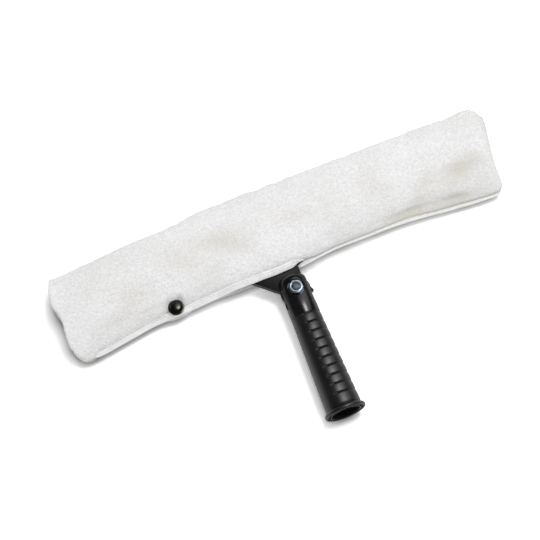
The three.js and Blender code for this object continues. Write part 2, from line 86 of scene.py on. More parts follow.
def add_node(material, kind, links=None, **settings):
    """One more node of a material. A link is another node's output, or a plain value for the socket."""
    node = material.node_tree.nodes.new(kind)
    for name, value in settings.items():
        setattr(node, name, value)
    for socket, source in (links or {}).items():
        if isinstance(source, bpy.types.NodeSocket):
            material.node_tree.links.new(source, node.inputs[socket])
        else:
            node.inputs[socket].default_value = source
    return node


def new_material(name, roughness, metallic=0.0, ior=1.5, **more):
    """A Principled material whose even values sit on the shader's own sockets."""
    material = bpy.data.materials.new(name)
    material.use_nodes = True
    sockets = material.node_tree.nodes["Principled BSDF"].inputs
    sockets["Roughness"].default_value = roughness
    sockets["Metallic"].default_value = metallic
    sockets["IOR"].default_value = ior
    for socket, value in more.items():
        sockets[socket.replace("_", " ")].default_value = value
    return material


def feed(material, output, socket):
    """Drives one socket of a material's shader by a node's output."""
    shader = material.node_tree.nodes["Principled BSDF"]
    material.node_tree.links.new(output, shader.inputs[socket])


def two_tone(material, pattern, dark, light, low=0.35, high=0.65):
    """Colours a material between two tones by a pattern, and gives the colour's output."""
    ramp = add_node(material, "ShaderNodeValToRGB", {0: pattern})
    ends = ramp.color_ramp.elements
    ends[0].position, ends[1].position = low, high
    ends[0].color, ends[1].color = linear(dark), linear(light)
    feed(material, ramp.outputs[0], "Base Color")
    return ramp.outputs[0]


def mottled(name, dark, light, size, roughness, dent=0.03, grain=0.4, strength=0.4, **more):
    """A plain finish with faint patches of two colours and a fine grain. Sizes in millimetres."""
    material = new_material(name, roughness, **more)
    place = add_node(material, "ShaderNodeTexCoord").outputs["Object"]
    patches = add_node(material, "ShaderNodeTexNoise", {"Vector": place, "Scale": 1 / mm(size)})
    specks = add_node(material, "ShaderNodeTexNoise", {"Vector": place, "Scale": 1 / mm(grain)})
    two_tone(material, patches.outputs["Fac"], dark, light)
    bump = add_node(
        material, "ShaderNodeBump",
        {"Height": specks.outputs["Fac"], "Distance": mm(dent), "Strength": strength},
    )
    feed(material, bump.outputs["Normal"], "Normal")
    return material


def only(*objects):
    """Object mode, with these objects selected and the first one active."""
    if bpy.context.object and bpy.context.object.mode != "OBJECT":
        bpy.ops.object.mode_set(mode="OBJECT")
    bpy.ops.object.select_all(action="DESELECT")
    for one in objects:
        one.select_set(True)
    bpy.context.view_layer.objects.active = objects[0]


def edit_all(piece):
    """Edit mode, with the whole of one piece selected."""
    only(piece)
    bpy.ops.object.mode_set(mode="EDIT")
    bpy.ops.mesh.select_all(action="SELECT")


def smooth(piece, sharp):
    """Smooth shading, apart from the edges that turn by more than this many degrees."""
    only(piece)
    bpy.ops.object.shade_smooth_by_angle(angle=math.radians(sharp))


def apply_modifier(piece, kind, **settings):
    """Adds one modifier to a piece and applies it."""
    only(piece)
    modifier = piece.modifiers.new(kind.title(), kind)
    for name, value in settings.items():
        setattr(modifier, name, value)
    bpy.ops.object.modifier_apply(modifier=modifier.name)


def merged_copy(node, name):
    """A copy of a CAD node with its loose triangles joined and its flat faces made whole."""
    piece = frame["nodes"][node].copy()
    piece.data = piece.data.copy()
    piece.name = name
    piece.parent = None
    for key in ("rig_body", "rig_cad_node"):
        if key in piece:
            del piece[key]
    bpy.context.scene.collection.objects.link(piece)
    piece.data.materials.clear()
    edit_all(piece)
    bpy.ops.mesh.remove_doubles(threshold=mm(0.01))
    bpy.ops.mesh.dissolve_limited(angle_limit=math.radians(0.5))
    bpy.ops.object.mode_set(mode="OBJECT")
    return piece


def soften(piece, width, segments=2):
    """Rounds the sharp edges to a width in millimetres, and smooths the rest."""
    corner = 30                  # the least turn of a sharp edge, in degrees
    apply_modifier(
        piece, "BEVEL", width=mm(width), segments=segments, limit_method="ANGLE",
        angle_limit=math.radians(corner),
    )
    smooth(piece, corner)


def finished(piece, material, body, node):
    """Gives a piece its material and its body, and hides the CAD node that it stands for."""
    piece.data.materials.clear()
    piece.data.materials.append(material)
    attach(piece, body)
    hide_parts(node)


# Glass-filled nylon, moulded with a fine spark-eroded grain: satin, with soft broad highlights
bar_nylon = mottled(
    "satin_moulded_nylon", "#090A0A", "#101111", 14, 0.42, dent=0.05, grain=0.9, strength=0.5,
    Specular_IOR_Level=0.15,
)

moulded_bar = merged_copy("t_bar", "moulded_bar")
soften(moulded_bar, 0.45)
finished(moulded_bar, bar_nylon, "sleeved_bar", "t_bar")


# Bush and two friction washers: the bush is a steel tube round the bolt that keeps the cheeks from being
# crushed, and the washers are thin white acetal discs that the tongue turns between.

# Acetal from the mould is smooth, opaque and faintly glossy
acetal = mottled("moulded_acetal", "#DAD8D0", "#E4E2DA", 6, 0.38, ior=1.48)

# Bright zinc plate is a bluish metal, with patches of slightly different tone
zinc_plate = mottled("bright_zinc_plate", "#7F8A98", "#A9B4C0", 1.6, 0.34, dent=0.02, metallic=1.0)

for node, finish, slot in (
    ("pivot_bush", zinc_plate, "zinc_steel"),
    ("friction_washer_front", acetal, "acetal"),
    ("friction_washer_back", acetal, "acetal"),
):
    turned_piece = merged_copy(node, node + "_turned")
    soften(turned_piece, 0.12, segments=1)
    finished(turned_piece, finish, "handle", node)


# Handle core: one glossy black ABS moulding, with a forked head that holds the T-bar's tongue, a neck, and
# under the rubber a tapered socket for an extension pole. A spot face on each cheek seats a washer.
bush_low, bush_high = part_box("pivot_bush")
pivot = (bush_low + bush_high) / 2
mouth = next(mount for mount in frame["record"]["mounts"] if mount["name"] == "mouth_face")
handle_along = Vector((mouth["axis"][0], mouth["axis"][1], 0))

# Polished ABS is deep black and glossy, with faint flow ripples, and patches of fine scuffs that dull it
gloss_abs = new_material("polished_black_abs", 0.2, ior=1.53, Specular_IOR_Level=0.4)
place = add_node(gloss_abs, "ShaderNodeTexCoord").outputs["Object"]
flow = add_node(gloss_abs, "ShaderNodeTexNoise", {"Vector": place, "Scale": 1 / mm(7)})
two_tone(gloss_abs, flow.outputs["Fac"], "#060707", "#0B0C0D")
scuffs = add_node(gloss_abs, "ShaderNodeTexNoise", {"Vector": place, "Scale": 1 / mm(2.2)})
dull = add_node(gloss_abs, "ShaderNodeMapRange", {0: scuffs.outputs["Fac"], "To Min": 0.16, "To Max": 0.3})
feed(gloss_abs, dull.outputs["Result"], "Roughness")
ripple = add_node(
    gloss_abs, "ShaderNodeBump", {"Height": flow.outputs["Fac"], "Distance": mm(0.12), "Strength": 0.5},
)
feed(gloss_abs, ripple.outputs["Normal"], "Normal")

# The inside of the pole socket isn't polished
rough_abs = mottled("unpolished_black_abs", "#070707", "#0C0C0C", 6, 0.8, ior=1.53, Specular_IOR_Level=0.1)

core = merged_copy("handle_core", "moulded_core")
soften(core, 0.5, segments=3)
finished(core, gloss_abs, "handle", "handle_core")
core.data.materials.append(rough_abs)
socket_start = mm(20)        # past this far from the bolt, what faces the axis is the socket
for face in core.data.polygons:
    along = Vector(face.center - pivot).dot(handle_along)
    outward = Vector(face.center - pivot) - handle_along * along
    if along > socket_start and face.normal.dot(outward) < 0:
        face.material_index = 1


# Grip: black rubber moulded over the core, smooth on the palm's side. Ten grooves part rounded lands on the
# finger side, and a thin rolled flange stands round the mouth, behind a groove of its own.
# It is shaped along -Y from the bolt, and then turned as the handle lies.
grip_top, grip_mouth, flange_back = 20.8, 102.7, 99.5        # from the bolt, in millimetres
taper_start, taper_end = 21.3, 99.7                          # from the bolt too
top_radius, foot_radius = 11.65, 14.1                        # at the two ends of the taper
top_flare = 0.02                                             # how much wider than the taper the top loop is
bore_radius, neck_hole = 12.3, 9.85                          # the holes at the mouth and at the top
groove_pitch, groove_depth, groove_count, first_groove = 7.46, 1.8, 10, 21.9

# A groove's section: from its middle, and the share of its depth there
land_profile = ((0, 1.0), (0.55, 0.85), (1.1, 0.3), (2.0, 0.06))

# Across the grip the grooves fade out: from, to, and the share of the depth that is sunk between them
groove_fade = ((-4.8, 99, 0.14), (-3.6, 99, 0.16), (-2.4, 9.8, 0.3), (-1.0, 8.6, 0.4))

# The flange and the groove behind it: how far each loop stands out from the taper
flange = {
    flange_back - 1.1: -0.75, flange_back - 0.5: -0.8, flange_back: 1.25, flange_back + 0.35: 1.75,
    flange_back + 0.9: 2.05, flange_back + 1.6: 2.1, grip_mouth - 0.9: 2.02, grip_mouth - 0.35: 1.72,
    grip_mouth: 1.2,
}


def chosen(piece, test, kind="VERT"):
    """Edit mode, with only the points that pass the test selected, or the edges between such points."""
    if bpy.context.mode != "EDIT_MESH":
        only(piece)
        bpy.ops.object.mode_set(mode="EDIT")
    bpy.ops.mesh.select_mode(type=kind)
    bpy.ops.mesh.select_all(action="DESELECT")
    bpy.ops.object.mode_set(mode="OBJECT")
    vertices = piece.data.vertices
    if kind == "VERT":
        for vertex in vertices:
            vertex.select = test(vertex.co)
    else:
        for edge in piece.data.edges:
            edge.select = all(test(vertices[v].co) for v in edge.vertices)
    bpy.ops.object.mode_set(mode="EDIT")


def at_station(station):
    """A test for points this far along the grip."""
    return lambda co: abs(-co.y - mm(station)) < mm(0.02)


def on_inner_rims(co):
    """Whether a point is on the end of the bore at the mouth, or on the hole for the neck."""
    off_axis = math.hypot(co.x, co.z)
    at_mouth = at_station(grip_mouth)(co) and off_axis < mm(bore_radius + 0.05)
    return at_mouth or (at_station(grip_top)(co) and off_axis < mm(neck_hole + 0.15))


def set_in_place(piece, turn, where):
    """Turns a piece about Z, moves it and puts its place in its mesh."""
    only(piece)
    piece.rotation_euler.z = turn
    piece.location = where
    bpy.ops.object.transform_apply(location=True, rotation=True, scale=True)


bpy.ops.object.select_all(action="DESELECT")
bpy.ops.mesh.primitive_cylinder_add(
    vertices=96, radius=mm(top_radius), depth=mm(grip_mouth - grip_top), end_fill_type="NOTHING",
    location=(0, -mm((grip_top + grip_mouth) / 2), 0), rotation=(math.pi / 2, 0, 0),
)
grip = bpy.context.object
grip.name = "overmoulded_grip"
bpy.ops.object.transform_apply(location=True, rotation=True, scale=True)

grooves = [first_groove + i * groove_pitch for i in range(groove_count)]
offsets = [side * offset for offset, _ in land_profile for side in (-1, 1)]
loops = {round(groove + offset, 3) for groove in grooves for offset in offsets}
loops |= {round(groove + groove_pitch / 2, 3) for groove in grooves} | {flange_back - 1.7, *flange}
for loop in sorted(loops):
    if grip_top + 0.05 < loop < grip_mouth - 0.05:
        edit_all(grip)
        bpy.ops.mesh.bisect(plane_co=(0, -mm(loop), 0), plane_no=(0, 1, 0))

for station in sorted(loop for loop in loops | {grip_top} if loop >= grip_top):
    along = min((station - taper_start) / (taper_end - taper_start), 1)
    radius = top_radius + (foot_radius - top_radius) * along + flange.get(station, 0)
    if station == grip_top:
        radius += top_flare
    chosen(grip, at_station(station))
    share = radius / top_radius
    bpy.ops.transform.resize(value=(share, 1, share), center_override=(0, -mm(station), 0))
for groove in grooves:
    for offset, depth_share in land_profile:
        for side in ((-1, 1) if offset else (1,)):
            station = groove + side * offset
            if station < grip_top + 0.05:
                continue
            for start, stop, share in groove_fade:
                chosen(grip, lambda co: at_station(station)(co) and mm(start) < co.x < mm(stop))
                bpy.ops.transform.shrink_fatten(value=-mm(groove_depth * depth_share * share))

# The two end faces, and the wall inside
for end, outer_radius, inner_radius in (
    (grip_top, top_radius + top_flare, neck_hole),
    (grip_mouth, foot_radius + flange[grip_mouth], bore_radius),
):
    chosen(grip, at_station(end), "EDGE")
    bpy.ops.mesh.extrude_edges_move()
    share = inner_radius / outer_radius
    bpy.ops.transform.resize(value=(share, 1, share), center_override=(0, -mm(end), 0))
chosen(grip, on_inner_rims, "EDGE")
bpy.ops.mesh.bridge_edge_loops()
bpy.ops.mesh.select_all(action="SELECT")
bpy.ops.mesh.normals_make_consistent(inside=False)
bpy.ops.object.mode_set(mode="OBJECT")
apply_modifier(grip, "SUBSURF", levels=1, render_levels=1)
smooth(grip, 50)
set_in_place(grip, math.atan2(handle_along.x, -handle_along.y), pivot)

# Rubber straight from the mould: satin, a little uneven, with a fine grain that breaks up its highlights
grip_rubber = mottled(
    "satin_moulded_rubber", "#090A0A", "#101211", 9, 0.37, dent=0.3, grain=0.7, Specular_IOR_Level=0.55,
)
finished(grip, grip_rubber, "handle", "rubber_grip")


# Pivot: a zinc-plated M6 bolt, two washers in their spot faces, and a lock nut whose rolled collar holds a
# nylon ring, which grips the thread of the bolt.

# Zinc plate painted a dark bluish grey, as painted shade for the washers in their spot faces and the bolt's
# end in the nut, and rougher, with a softer reflection than the nut's
shaded_zinc = mottled("zinc_plate_painted_dark", "#34393F", "#4C5259", 2.5, 0.42, dent=0.02, metallic=1.0)

# Natural nylon is milky, and lets a little light in
nylon = mottled("natural_nylon", "#75828F", "#94A1AE", 2, 0.5, dent=0.02, ior=1.53, Subsurface_Weight=0.2)

for node, name, width, finish, slot in (
    ("pivot_bolt", "hex_bolt", 0.3, shaded_zinc, "zinc_steel"),
    ("bolt_washer", "washer_under_head", 0.12, shaded_zinc, "zinc_steel"),
    ("nut_washer", "washer_under_nut", 0.12, shaded_zinc, "zinc_steel"),
    ("lock_nut", "hex_lock_nut", 0.28, zinc_plate, "zinc_steel"),
    ("nylon_insert", "nylon_ring", 0.15, nylon, "nylon"),
):
    fastener = merged_copy(node, name)
    soften(fastener, width)
    finished(fastener, finish, "handle", node)


# Sleeve: one panel of white plush, pile outwards, folded round the bar along its far edge, sewn up at the
# closed end and along half of its near edge. Its front corner is a flap that peels back from a snap: the
# panel is one mesh, cut along the fold line, so the two halves always meet.

# Places on the cloth are in millimetres, X and Y from the bolt and Z from the table
sleeve_left, sleeve_right = 178.5, 188.5                     # its open end and its closed end
top_z, mid_z = 32.4, 16.2
bar_near, bar_far, bar_end = 30, 74, 173.1                   # the bar inside it
slit_end, fin_reach = 16.7, 40.3
web_gap, shut_gap = 3.5, 0.45                                # half the height of the slit, open and shut
cap_x, cap_y, cap_z, post_z = -89, 23.45, 19.0, 4.5          # the snap, its cap and its post
cut_root, cut_tip, fold_z = (-16.0, 20.3), (-178.5, 73.5), 32.7
rim_roll, closing_length = 2.1, 13                           # of the open end, and of the closed end
around_steps, along_steps, closing_steps = 76, 306, 20
section_power, half_width, half_height = 2.3, 33.5, 17       # of an even section, for its steps of arc

# The open end, from its near corner to its far corner: places across, and how far each stands in
open_end = (
    (0, 11), (0.06, 6), (0.13, 3.2), (0.23, 3.2), (0.34, 3.9), (0.45, 5), (0.57, 3.6), (0.66, 1.8),
    (0.87, 4.6), (1, 7.5),
)

# Dimples and folds: place, half length, half width, turn and depth, which also sets how dark the dimple's
# painted shade is
dimples = (
    (-45, 58, 26, 9, -12, 1.5), (-72, 50, 16, 8, -30, 1.1), (-28, 46, 15, 7, -24, 1.3),
    (-118, 40, 20, 8, -18, 1.2), (-133, 30, 12, 5, 12, 1.3), (106, 22.6, 19, 2.6, -3, 2.7),
    (145, 19.4, 12, 2.6, -6, 2.9), (157, 37, 17, 8, 8, 3.2), (120, 32, 18, 5, 38, 1.5),
    (84, 52, 14, 9, -35, 0.9), (22, 52, 16, 7, -15, 0.9),
)

# The unevenness of the pile, everywhere and along its shaggy edges: height, size and seed of the lumps
pile_lumps = ((1.1, 46, 1), (0.6, 19, 2), (0.26, 8.5, 3), (0.14, 4.2, 4), (0.2, 2.0, 5))
shaggy_lumps = ((0.42, 2.6, 8), (0.45, 6, 9))


def ease(value, low, high):
    """A smooth step, from 0 at low to 1 at high."""
    share = np.clip((value - low) / (high - low), 0, 1)
    return share * share * (3 - 2 * share)


def lumps(points, size, seed):
    """Smooth random values from -1 to 1, with lumps of about this size."""
    lattice = np.random.default_rng(seed).uniform(-1, 1, (41, 41, 41))
    cell = np.asarray(points) / size + 1000.5
    base = np.floor(cell).astype(int)
    part = cell - base
    part = part * part * (3 - 2 * part)
    total = np.zeros(part.shape[:-1])
    for corner in np.ndindex(2, 2, 2):
        weight = np.prod(np.where(np.array(corner), part, 1 - part), axis=-1)
        index = (base + corner) % 41
        total += weight * lattice[index[..., 0], index[..., 1], index[..., 2]]
    return total


def sag(x):
    """How far the sleeve bows towards the handle, as a share of the bow at its ends."""
    left = np.clip((-x - 20) / (sleeve_left - 20), 0, 1) ** 1.6
    return np.where(x < 0, left, ease(x, sleeve_right - 105, sleeve_right))


def rounding(x, radius):
    """How far a rounded corner of the closed end cuts in."""
    share = np.clip((x - sleeve_right + radius) / radius, 0, 1)
    return radius * (1 - np.sqrt(1 - share ** 2))


def edge_height(x):
    """The height of the near edge: the ends hang lower than the web."""
    left, right = ease(-x, fin_reach, sleeve_left - 70), ease(x, slit_end, sleeve_right - 35)
    return mid_z - 7.5 * np.where(x < 0, left, right)


def near_edge(x):
    """Where the near edge lies: bowed, nearer to the handle over the web, and wavy at the open half."""
    over_web = 3.2 * ease(x, -95, -8) * (1 - ease(x, 8, 45))
    waves = 1.8 * np.exp(-((x + 107) / 17) ** 2) - 0.9 * np.exp(-((x + 152) / 14) ** 2)
    return bar_near - 9.7 - 7.6 * sag(x) + rounding(x, 8) - over_web + waves


def far_edge(x):
    waves = 1.7 * np.exp(-((x + 18) / 42) ** 2) - 1.6 * np.exp(-((x - 123) / 27) ** 2)
    return bar_far + 13.3 - np.where(x < 0, 4, 1.6) * sag(x) - rounding(x, 7.5) + waves


def top_height(x):
    return top_z - 3.5 * ease(-x, sleeve_left - 45, sleeve_left)


def end_shift(x, share):
    """How the two ends are shaped, at a share of the way from the near edge to the far edge."""
    bow = np.interp(share, *zip(*open_end)) * ease(-x, sleeve_left - 30, sleeve_left)
    bulge = 4 * share - 2 + 8.2 * share ** 2 * (1 - share ** 10)
    return bow + bulge * ease(x, sleeve_right - 60, sleeve_right)


def set_back(x, share, side):
    """How much further in the back layer ends at the open end."""
    return 1.2 * (side < 0) * (1 - share ** 8) * ease(-x, sleeve_left - 14, sleeve_left)


def slit_half(x):
    """Half the height of the slit: open at the web, shut beside it."""
    shut = np.where(x < 0, ease(-x, fin_reach, fin_reach + 20), ease(x, 9.9, slit_end))
    return web_gap + (shut_gap - web_gap) * shut


def from_bolt(points):
    """Row-frame metres from millimetres about the bolt, with Z from the table."""
    return np.asarray(points) / 1000 + np.array([pivot.x, pivot.y, 0])


def cloth_piece(name, places, piece_faces, finishes, marks):
    """A piece of cloth, with one of its finishes on each face. Its patterns follow where it lies."""
    places = from_bolt(places)
    mesh = bpy.data.meshes.new(name)
    mesh.from_pydata([tuple(place) for place in places], [], [tuple(face) for face in piece_faces])
    mesh.polygons.foreach_set("use_smooth", [True] * len(mesh.polygons))
    mesh.update()
    for finish in finishes:
        mesh.materials.append(finish)
    mesh.polygons.foreach_set("material_index", marks)
    flat = mesh.attributes.new("flat_place", "FLOAT_VECTOR", "POINT")
    flat.data.foreach_set("vector", places.ravel())
    piece = bpy.data.objects.new(name, mesh)
    bpy.context.scene.collection.objects.link(piece)
    return piece


body_x = np.linspace(rim_roll - sleeve_left, sleeve_right - closing_length, along_steps, endpoint=False)
closing_turn = np.linspace(0, math.pi / 2, closing_steps)
closing_x = sleeve_right - closing_length + closing_length * np.sin(closing_turn)
stations_x = np.concatenate([body_x, closing_x])
closing = np.clip((stations_x - sleeve_right + closing_length) / closing_length, 0, 1)
fullness = np.sqrt(1 - closing ** 2)

# Equal steps of arc round one half of a section, from the near edge to the far edge
fine = np.linspace(math.pi, 0, 2001)
half_y = half_width * np.sign(np.cos(fine)) * np.abs(np.cos(fine)) ** (2 / section_power)
half_z = half_height * np.abs(np.sin(fine)) ** (2 / section_power)
arc = np.concatenate([[0], np.cumsum(np.hypot(np.diff(half_y), np.diff(half_z)))])
angles = np.interp(np.linspace(0, arc[-1], around_steps), arc, fine)


def outer_half(side):
    """The pile face of the front (side 1) or back (side -1) layer, as a grid of stations by steps round."""
    x = stations_x[:, None]
    seam = ease(x, 8, 30)                                    # from the slit to the sewn half of the near edge
    hem_inset = 4.6 - 1.1 * ease(-x, 92, 104) if side > 0 else 3.6
    hem_lift = 3.1 if side > 0 else 2.0
    corner = ease(-x, sleeve_left - 24, sleeve_left - 7)     # the hems end before the corner of the open end
    inset = (hem_inset * (1 - seam) + 1.5 * seam) * (1 - 0.85 * corner)
    lift = (hem_lift * (1 - seam) + 0.4 * seam) * (1 - 0.6 * corner)
    power = np.where((np.cos(angles) < 0) & (side > 0), 1.85, section_power)
    across = (np.sign(np.cos(angles)) * np.abs(np.cos(angles)) ** (2 / power))[None, :]
    up = (np.abs(np.sin(angles)) ** (2 / power))[None, :]
    share = (1 + across) / 2
    near = near_edge(x) + inset
    y = near + (far_edge(x) - near) * share
    low = edge_height(x) + side * np.minimum(lift + slit_half(x) - shut_gap, edge_height(x) * 0.85)
    base = low * (1 - share) + mid_z * share
    full = fullness[:, None]
    if side > 0:
        z = base + (top_height(x) - base) * up * full
    else:
        z = base - base * np.minimum(1, up * 1.04) * full
    flat = edge_height(x) * (1 - share) + mid_z * share
    z = flat + (z - flat) * (1 - closing[:, None] ** 6)
    return np.stack([x + end_shift(x, share) + set_back(x, share, side), y, z], axis=-1)


def inner_half(side):
    """The lining: from the slit along the near wall, over the bar and down the far wall."""
    x = stations_x[:, None]
    room = 8.1                                               # half the height of the space for the bar
    by_snap = 1 - ease(np.abs(x - cap_x), 7, 12)
    wall = 29.4 + 0.8 * by_snap
    far = bar_far + 0.6 + 0 * x
    start = edge_height(x) + side * slit_half(x)
    corners_y = [near_edge(x) + 3, wall, wall, wall + 1.5, far, far]
    heights = (room - 1.5 - by_snap, room - 0.4 * by_snap, room, 0)
    corners_z = [start, start] + [mid_z + side * height + 0 * x for height in heights]
    stops = np.array([0, 0.12, 0.24, 0.28, 0.88, 1])
    u = np.linspace(0, 1, around_steps)
    y = np.zeros((len(stations_x), around_steps))
    z = np.zeros_like(y)
    for i in range(len(stops) - 1):
        inside = (u >= stops[i]) & (u <= stops[i + 1])
        t = ((u - stops[i]) / (stops[i + 1] - stops[i]))[None, :]
        y = np.where(inside, corners_y[i] + (corners_y[i + 1] - corners_y[i]) * t, y)
        z = np.where(inside, corners_z[i] + (corners_z[i + 1] - corners_z[i]) * t, z)
    share = (y - near_edge(x)) / (far_edge(x) - near_edge(x))
    past = ease(x, bar_end, sleeve_right - 4)
    z = z * (1 - past) + (mid_z * share + edge_height(x) * (1 - share)) * past
    x = x + end_shift(x, share) + set_back(x, share, side)
    return np.stack([np.minimum(x, bar_end + 4 * past), y, z], axis=-1)


def normals_of(grid, side):
    along, around = np.gradient(grid, axis=0), np.gradient(grid, axis=1)
    normal = np.cross(along, around) * side
    return normal / np.maximum(np.linalg.norm(normal, axis=-1, keepdims=True), 1e-9)


def pressed(moved, side):
    """The height of a layer, with a seat for the snap, and the front layer clear of the bar under it."""
    x, y, z = moved[..., 0], moved[..., 1], moved[..., 2]
    distance = np.hypot(x - cap_x, y - cap_y)
    if side < 0:
        seat = post_z + 0.2
        return np.where(z < seat, seat + (z - seat) * ease(distance, 5.3, 11), z)
    seat = cap_z - 0.4
    sunk = seat + (z - seat) * ease(distance, 6.0, 9.0)
    over_bar = np.interp(y, [28.8, 29.4, 30.0, 31.0], [seat, 20.4, 24.2, 25.3])
    z = np.where(z > seat, np.minimum(z, np.maximum(sunk, over_bar)), z)
    least = np.interp(y, [26.5, 29.3, 31.0], [0, 23.7, 25.2])
    short = least * (x < bar_end + 2) * (y < bar_far + 2) * (distance >= 9) - z
    return z + (short + np.hypot(short, 2.0)) / 2


def pile(grid, side):
    """Lays the pile's unevenness on a layer: folds, dimples, lumps and tufts, and gives its painted shade
    mask.
    """
    x, y = grid[..., 0], grid[..., 1]
    puff = sum(height * lumps(grid, size, seed) for height, size, seed in pile_lumps)
    puff += 1.1 * lumps(grid, 27, 7) * ease(y, 70, 84)
    shaggy = np.maximum(ease(y, 66, 84), ease(np.abs(x - 5), 172, 183))
    puff += sum(height * lumps(grid, size, seed) for height, size, seed in shaggy_lumps) * shaggy
    dent_and_shade = 0 * x
    for cx, cy, long, wide, turn, depth in dimples:
        turned = math.radians(turn)
        u = (x - cx) * math.cos(turned) + (y - cy) * math.sin(turned)
        v = (y - cy) * math.cos(turned) - (x - cx) * math.sin(turned)
        dent_and_shade += depth * np.exp(-(u / long) ** 2 - (v / wide) ** 2) * (side > 0)
    puff -= dent_and_shade
    steps = np.arange(around_steps)[None, :]
    dent_and_shade += 4.0 * (1 - ease(steps, 0.5, 3.5))              # painted shade on the pile beside the hems
    puff *= 0.25 + 0.75 * np.minimum(steps / 6, 1)
    moved = grid + normals_of(grid, side) * puff[..., None]
    moved[..., 2] = np.clip(pressed(moved, side), 0, top_z + 1.2)
    return moved, dent_and_shade


def skin(front, back):
    """One skin from its two layers, from the front lip of the slit round to the back lip."""
    return np.concatenate([front, back[:, ::-1][:, 1:]], axis=1)


(front_pile, front_shade_mask), (back_pile, back_shade_mask) = pile(outer_half(1), 1), pile(outer_half(-1), -1)
front_pile[-1] = back_pile[-1] = (front_pile[-1] + back_pile[-1]) / 2        # sewn together at the closed end
outer = skin(front_pile, back_pile)
inner = skin(inner_half(1), inner_half(-1))
rows, columns = outer.shape[:2]
half_way = around_steps - 1                                  # the last step of the front layer

# The rolled rim of the open end, the lips at the slit, and the two skins
rim = []
for share, roll in ((0.12, 0.9), (0.32, 1.3), (0.6, 1.0), (0.85, 0.3)):
    ring = outer[0] * (1 - share) + inner[0] * share
    ring[:, 0] -= roll + 0.35 * lumps(ring, 3.0, 6)
    rim.append(ring)
lip = []
for share, out in ((0.3, 0.5), (0.7, 0.4)):
    for column in (0, columns - 1):
        edge = outer[:, column] * (1 - share) + inner[:, column] * share
        edge[:, 1] -= out
        lip.append(edge)
points = np.concatenate([outer.reshape(-1, 3), inner.reshape(-1, 3), *rim, *lip])
painted_shade_mask = skin(front_shade_mask, back_shade_mask).ravel()
painted_shade_mask = np.append(painted_shade_mask, np.zeros(len(points) - len(painted_shade_mask)))


# The number of a point, by where it is. The two ends of a skin are the slit's front lip, 0, and back lip, 1.
def outer_at(i, j):
    return i * columns + j


def inner_at(i, j):
    return (rows + i) * columns + j


def rim_at(k, j):
    return (2 * rows + k) * columns + j


def lip_at(k, end, i):
    return (2 * rows + len(rim)) * columns + (2 * k + end) * rows + i


def rim_path(j):
    """Round the rim of the open end, from the pile to the lining."""
    return [outer_at(0, j), *[rim_at(k, j) for k in range(len(rim))], inner_at(0, j)]


faces, lining, front_layer = [], [], []


def add_face(corners, inside, front):
    faces.append(corners)
    lining.append(inside)
    front_layer.append(front)


for i in range(rows - 1):
    for j in range(columns - 1):
        pile_face = (outer_at(i, j), outer_at(i, j + 1), outer_at(i + 1, j + 1), outer_at(i + 1, j))
        lining_face = (inner_at(i, j), inner_at(i + 1, j), inner_at(i + 1, j + 1), inner_at(i, j + 1))
        add_face(pile_face, False, j < half_way)
        add_face(lining_face, True, j < half_way)
    for end, j in ((0, 0), (1, columns - 1)):
        here, beside = [
            (outer_at(row, j), lip_at(0, end, row), lip_at(1, end, row), inner_at(row, j))
            for row in (i, i + 1)
        ]
        for step in range(len(here) - 1):
            corners = (here[step], beside[step], beside[step + 1], here[step + 1])
            add_face(corners if end == 0 else corners[::-1], False, end == 0)
# The back layer's whole rim, and the inner part of the front one's, take the backing and so its painted shade
for j in range(columns - 1):
    here, beside = rim_path(j), rim_path(j + 1)
    for step in range(len(here) - 1):
        corners = (here[step], here[step + 1], beside[step + 1], beside[step])
        add_face(corners, step > 2 or j >= half_way, j < half_way)
for end, j in ((0, 0), (1, columns - 1)):
    corners = [outer_at(0, j), lip_at(0, end, 0), lip_at(1, end, 0), *rim_path(j)[:0:-1]]
    add_face(tuple(corners if end else corners[::-1]), False, end == 0)


def layer(name, wanted):
    """The faces of the panel that are wanted, with the lining as a second material."""
    kept = [k for k, is_wanted in enumerate(wanted) if is_wanted]
    used = sorted({v for k in kept for v in faces[k]})
    number = {v: i for i, v in enumerate(used)}
    own_faces = [[number[v] for v in faces[k]] for k in kept]
    piece = cloth_piece(name, points[used], own_faces, (plush, backing), [int(lining[k]) for k in kept])
    low = piece.data.attributes.new("dent_and_shade", "FLOAT", "POINT")
    low.data.foreach_set("value", painted_shade_mask[used])
    return piece


# White polyester plush: short dense pile, so light falls softly, with small tufts and no gloss. Its dimples
# and the pile beside the hems get painted shade, tinted darker and warmer. The pattern is read from where the
# cloth lies, so it folds with it.
plush = new_material(
    "white_polyester_plush", 1.0, Sheen_Weight=0.25, Sheen_Roughness=0.6, Specular_IOR_Level=0.08,
)
place = add_node(plush, "ShaderNodeAttribute", attribute_name="flat_place").outputs["Vector"]
cloud = add_node(plush, "ShaderNodeTexNoise", {"Vector": place, "Scale": 1 / mm(30), "Detail": 1.0})
tuft = add_node(plush, "ShaderNodeTexNoise", {"Vector": place, "Scale": 1 / mm(1.9), "Detail": 4.0})
fibre = add_node(plush, "ShaderNodeTexNoise", {"Vector": place, "Scale": 1 / mm(0.6), "Detail": 2.0})
speckle = add_node(plush, "ShaderNodeMix", {0: 0.45, 2: tuft.outputs["Fac"], 3: fibre.outputs["Fac"]})
tint = add_node(plush, "ShaderNodeMix", {0: 0.8, 2: cloud.outputs["Fac"], 3: speckle.outputs[0]})
fresh = two_tone(plush, tint.outputs[0], "#E7E6E4", "#F7F7F9", low=0.42, high=0.58)
